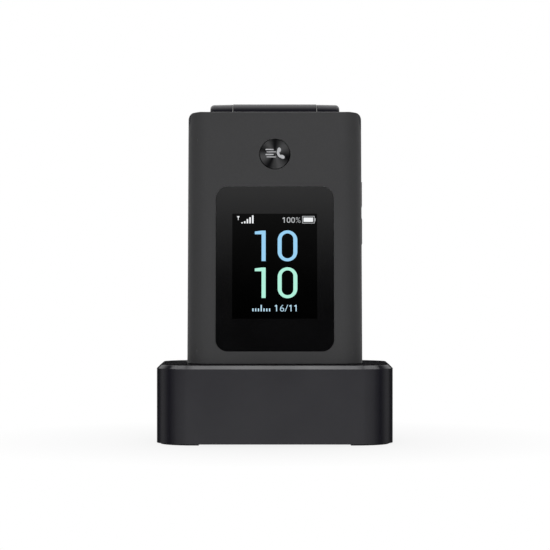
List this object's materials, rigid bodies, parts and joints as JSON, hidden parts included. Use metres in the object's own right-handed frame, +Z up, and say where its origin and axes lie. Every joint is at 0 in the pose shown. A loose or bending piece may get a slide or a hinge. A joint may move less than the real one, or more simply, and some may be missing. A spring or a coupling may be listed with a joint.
{
  "type": "flip phone with charging cradle",
  "caption": "Closed flip phone with an outer screen and a quick-call key, standing in a desk charging cradle; the lid opens and the phone lifts out.",
  "frame": {"origin": "middle of the cradle's footprint, on the floor", "axes": "+X to the right seen from the front, +Y to the back, +Z up; the outer screen faces -Y"},
  "size_m": [0.0766, 0.05, 0.111],
  "materials": {
    "cradle_plastic": "satin black moulding",
    "shell_plastic": "soft-touch coated dark grey",
    "inner_plastic": "fine-grained dark moulding",
    "key_plastic": "satin keys with pale printed signs",
    "button_metal": "dark spun disc",
    "rubber": "moulded rubber",
    "window_glass": "black-backed polished glass",
    "display": "display module",
    "steel": "plain steel",
    "contact_gold": "gold-plated spring contacts",
    "circuit_board": "solder-masked board",
    "battery_wrap": "plain battery case",
    "black_part": "black moulded part"
  },
  "bodies": {
    "cradle": {"cradle_housing": "cradle_plastic", "cradle_base_plate": "cradle_plastic", "cradle_feet": "rubber", "cradle_weights": "steel", "cradle_board": "circuit_board", "cradle_usb_socket": "steel", "cradle_contact_block": "black_part", "cradle_screws": "steel"},
    "phone_base": {"base_housing": "shell_plastic", "keypad_frame": "inner_plastic", "battery": "battery_wrap", "main_board": "circuit_board", "dome_sheet": "steel", "charging_contacts": "contact_gold", "phone_usb_socket": "steel", "headset_socket": "black_part", "loudspeaker": "black_part", "microphone": "steel", "vibration_motor": "steel", "antenna": "black_part", "camera_module": "black_part", "camera_window": "window_glass", "sim_socket": "steel", "base_screws": "steel", "hinge_pin": "steel"},
    "lid": {"lid_outer_shell": "shell_plastic", "lid_inner_shell": "inner_plastic", "outer_window": "window_glass", "outer_display": "display", "inner_window": "window_glass", "inner_display": "display", "lid_board": "circuit_board", "earpiece": "black_part", "lid_screws": "steel", "lid_bumpers": "rubber", "hinge_cartridge": "steel", "hinge_flex": "contact_gold"},
    "key_1": {"key_1": "key_plastic"},
    "key_2": {"key_2": "key_plastic"},
    "key_3": {"key_3": "key_plastic"},
    "key_4": {"key_4": "key_plastic"},
    "key_5": {"key_5": "key_plastic"},
    "key_6": {"key_6": "key_plastic"},
    "key_7": {"key_7": "key_plastic"},
    "key_8": {"key_8": "key_plastic"},
    "key_9": {"key_9": "key_plastic"},
    "key_star": {"key_star": "key_plastic"},
    "key_0": {"key_0": "key_plastic"},
    "key_hash": {"key_hash": "key_plastic"},
    "call_key": {"call_key": "key_plastic"},
    "end_key": {"end_key": "key_plastic"},
    "soft_key_left": {"soft_key_left": "key_plastic"},
    "soft_key_right": {"soft_key_right": "key_plastic"},
    "navigation_ring": {"navigation_ring": "key_plastic"},
    "ok_key": {"ok_key": "key_plastic"},
    "volume_rocker": {"volume_rocker": "shell_plastic"},
    "battery_cover": {"battery_cover": "shell_plastic"},
    "quick_call_key": {"quick_call_key": "button_metal"},
    "contact_pin_left": {"contact_pin_left": "contact_gold"},
    "contact_pin_right": {"contact_pin_right": "contact_gold"}
  },
  "joints": [
    {"name": "phone_lift", "type": "slide", "parent": "cradle", "child": "phone_base", "axis": [0, 0.1392, 0.9903], "range_m": [0, 0.045]},
    {"name": "lid_hinge", "type": "hinge", "parent": "phone_base", "child": "lid", "pos_m": [0, 0.00273, 0.10594], "axis": [-1, 0, 0], "range_deg": [0, 160]},
    {"name": "battery_cover_release", "type": "slide", "parent": "phone_base", "child": "battery_cover", "axis": [0, 0.9903, -0.1392], "range_m": [0, 0.008]},
    {"name": "volume_rock", "type": "hinge", "parent": "phone_base", "child": "volume_rocker", "pos_m": [0.0259, 0.00215, 0.07492], "axis": [0, 0.9903, -0.1392], "range_deg": [-1.2, 1.2], "stiffness_Nm_per_rad": 2},
    {"name": "quick_call_press", "type": "slide", "parent": "lid", "child": "quick_call_key", "axis": [0, 0.9903, -0.1392], "range_m": [0, 0.0003], "stiffness_N_per_m": 1500, "springref_m": -0.0002},
    {"name": "contact_pin_left_press", "type": "slide", "parent": "cradle", "child": "contact_pin_left", "axis": [0, -0.1392, -0.9903], "range_m": [0, 0.0004], "stiffness_N_per_m": 800, "springref_m": -0.0002},
    {"name": "contact_pin_right_press", "type": "slide", "parent": "cradle", "child": "contact_pin_right", "axis": [0, -0.1392, -0.9903], "range_m": [0, 0.0004], "stiffness_N_per_m": 800, "springref_m": -0.0002},
    {"name": "key_1_press", "type": "slide", "parent": "phone_base", "child": "key_1", "axis": [0, 0.9903, -0.1392], "range_m": [0, 0.0003], "stiffness_N_per_m": 1500, "springref_m": -0.0002},
    {"name": "key_2_press", "type": "slide", "parent": "phone_base", "child": "key_2", "axis": [0, 0.9903, -0.1392], "range_m": [0, 0.0003], "stiffness_N_per_m": 1500, "springref_m": -0.0002},
    {"name": "key_3_press", "type": "slide", "parent": "phone_base", "child": "key_3", "axis": [0, 0.9903, -0.1392], "range_m": [0, 0.0003], "stiffness_N_per_m": 1500, "springref_m": -0.0002},
    {"name": "key_4_press", "type": "slide", "parent": "phone_base", "child": "key_4", "axis": [0, 0.9903, -0.1392], "range_m": [0, 0.0003], "stiffness_N_per_m": 1500, "springref_m": -0.0002},
    {"name": "key_5_press", "type": "slide", "parent": "phone_base", "child": "key_5", "axis": [0, 0.9903, -0.1392], "range_m": [0, 0.0003], "stiffness_N_per_m": 1500, "springref_m": -0.0002},
    {"name": "key_6_press", "type": "slide", "parent": "phone_base", "child": "key_6", "axis": [0, 0.9903, -0.1392], "range_m": [0, 0.0003], "stiffness_N_per_m": 1500, "springref_m": -0.0002},
    {"name": "key_7_press", "type": "slide", "parent": "phone_base", "child": "key_7", "axis": [0, 0.9903, -0.1392], "range_m": [0, 0.0003], "stiffness_N_per_m": 1500, "springref_m": -0.0002},
    {"name": "key_8_press", "type": "slide", "parent": "phone_base", "child": "key_8", "axis": [0, 0.9903, -0.1392], "range_m": [0, 0.0003], "stiffness_N_per_m": 1500, "springref_m": -0.0002},
    {"name": "key_9_press", "type": "slide", "parent": "phone_base", "child": "key_9", "axis": [0, 0.9903, -0.1392], "range_m": [0, 0.0003], "stiffness_N_per_m": 1500, "springref_m": -0.0002},
    {"name": "key_star_press", "type": "slide", "parent": "phone_base", "child": "key_star", "axis": [0, 0.9903, -0.1392], "range_m": [0, 0.0003], "stiffness_N_per_m": 1500, "springref_m": -0.0002},
    {"name": "key_0_press", "type": "slide", "parent": "phone_base", "child": "key_0", "axis": [0, 0.9903, -0.1392], "range_m": [0, 0.0003], "stiffness_N_per_m": 1500, "springref_m": -0.0002},
    {"name": "key_hash_press", "type": "slide", "parent": "phone_base", "child": "key_hash", "axis": [0, 0.9903, -0.1392], "range_m": [0, 0.0003], "stiffness_N_per_m": 1500, "springref_m": -0.0002},
    {"name": "call_key_press", "type": "slide", "parent": "phone_base", "child": "call_key", "axis": [0, 0.9903, -0.1392], "range_m": [0, 0.0003], "stiffness_N_per_m": 1500, "springref_m": -0.0002},
    {"name": "end_key_press", "type": "slide", "parent": "phone_base", "child": "end_key", "axis": [0, 0.9903, -0.1392], "range_m": [0, 0.0003], "stiffness_N_per_m": 1500, "springref_m": -0.0002},
    {"name": "soft_key_left_press", "type": "slide", "parent": "phone_base", "child": "soft_key_left", "axis": [0, 0.9903, -0.1392], "range_m": [0, 0.0003], "stiffness_N_per_m": 1500, "springref_m": -0.0002},
    {"name": "soft_key_right_press", "type": "slide", "parent": "phone_base", "child": "soft_key_right", "axis": [0, 0.9903, -0.1392], "range_m": [0, 0.0003], "stiffness_N_per_m": 1500, "springref_m": -0.0002},
    {"name": "navigation_ring_press", "type": "slide", "parent": "phone_base", "child": "navigation_ring", "axis": [0, 0.9903, -0.1392], "range_m": [0, 0.0003], "stiffness_N_per_m": 1500, "springref_m": -0.0002},
    {"name": "ok_key_press", "type": "slide", "parent": "phone_base", "child": "ok_key", "axis": [0, 0.9903, -0.1392], "range_m": [0, 0.0003], "stiffness_N_per_m": 1500, "springref_m": -0.0002}
  ]
}
